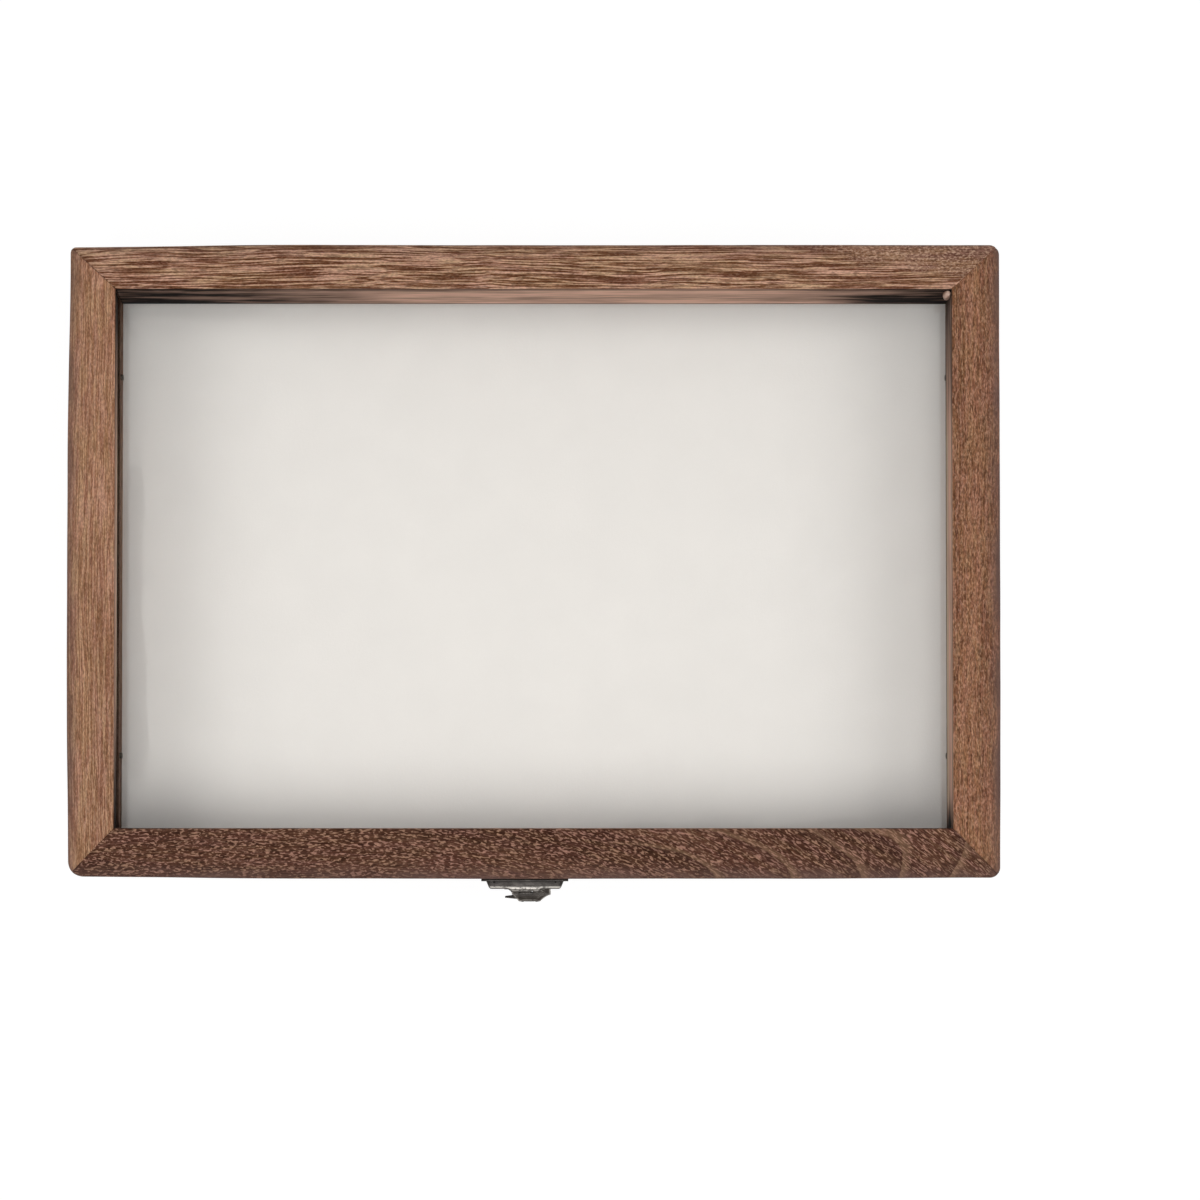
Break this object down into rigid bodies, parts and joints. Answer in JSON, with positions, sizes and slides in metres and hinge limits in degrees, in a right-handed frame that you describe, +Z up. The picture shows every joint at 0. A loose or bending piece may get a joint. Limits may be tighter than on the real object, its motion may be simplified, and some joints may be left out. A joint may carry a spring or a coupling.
{
  "type": "insect display case",
  "caption": "Shallow wooden display case with a hinged glazed lid, a front hasp latch and a white foam board to pin specimens on.",
  "frame": {"origin": "centre of the underside, on the bottom panel's lower face, without hinges and latch", "axes": "+X to the case's right, +Y to its back where the hinges are, +Z up; the latch faces -Y"},
  "size_m": [0.31, 0.2229, 0.05],
  "materials": {
    "stained_wood": "satin",
    "plywood": "matte",
    "white_foam": "matte",
    "clear_glass": "gloss",
    "antique_bronze": "satin",
    "brad_steel": "satin"
  },
  "bodies": {
    "base": {"base_front_wall": "stained_wood", "base_back_wall": "stained_wood", "base_left_wall": "stained_wood", "base_right_wall": "stained_wood", "bottom_panel": "plywood", "bottom_panel_brads": "brad_steel", "pinning_foam": "white_foam", "hinge_left_base_leaf": "antique_bronze", "hinge_right_base_leaf": "antique_bronze", "hinge_left_pin": "antique_bronze", "hinge_right_pin": "antique_bronze", "hinge_base_screws": "antique_bronze", "catch_plate": "antique_bronze", "catch_stud": "antique_bronze", "catch_nails": "antique_bronze"},
    "lid": {"lid_front_rail": "stained_wood", "lid_back_rail": "stained_wood", "lid_left_rail": "stained_wood", "lid_right_rail": "stained_wood", "glass_pane": "clear_glass", "glazing_bead_front": "stained_wood", "glazing_bead_back": "stained_wood", "glazing_bead_left": "stained_wood", "glazing_bead_right": "stained_wood", "glazing_brads": "brad_steel", "hinge_left_lid_leaf": "antique_bronze", "hinge_right_lid_leaf": "antique_bronze", "hinge_lid_screws": "antique_bronze", "hasp_plate": "antique_bronze", "hasp_plate_nails": "antique_bronze", "hasp_pin": "antique_bronze"},
    "hasp": {"hasp": "antique_bronze"}
  },
  "joints": [
    {"name": "lid_hinge", "type": "hinge", "parent": "base", "child": "lid", "pos_m": [0, 0.1075, 0.033], "axis": [-1, 0, 0], "range_deg": [0, 170]},
    {"name": "hasp_swing", "type": "hinge", "parent": "lid", "child": "hasp", "pos_m": [-0.003, -0.1085, 0.035], "axis": [-1, 0, 0], "range_deg": [0, 150]}
  ]
}
